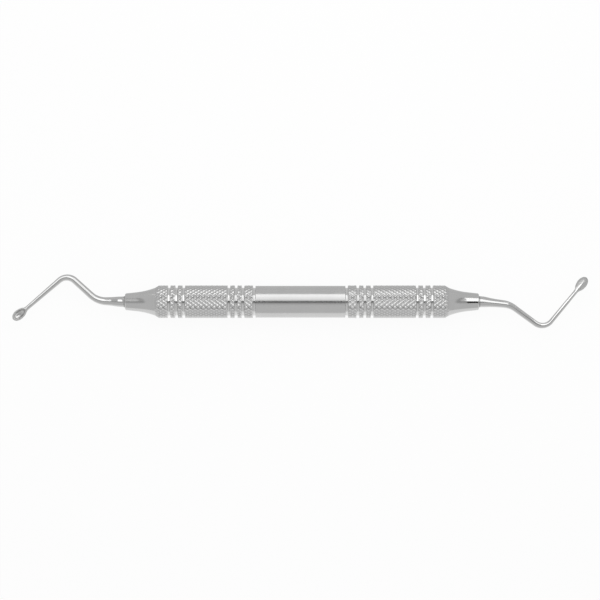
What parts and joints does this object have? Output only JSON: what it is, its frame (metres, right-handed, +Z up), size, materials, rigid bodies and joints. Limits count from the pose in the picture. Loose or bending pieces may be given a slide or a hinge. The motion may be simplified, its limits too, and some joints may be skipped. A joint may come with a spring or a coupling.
{
  "type": "bone curette",
  "caption": "Double-ended hand curette: round knurled handle, a bent tapering shank at each end and a small egg-shaped spoon on each tip for scraping bone.",
  "frame": {"origin": "middle of the handle, on its axis", "axes": "+X along the handle from the end whose hollow faces up to the end whose spoon shows its back, +Y towards the side the first end bends to, +Z up as it lies on a table"},
  "size_m": [0.1693, 0.0158, 0.0096],
  "materials": {
    "handle_steel": "satin, knurled bands",
    "tip_steel": "polished"
  },
  "bodies": {
    "root": {"handle": "handle_steel", "left_working_end": "tip_steel", "right_working_end": "tip_steel"}
  },
  "joints": []
}
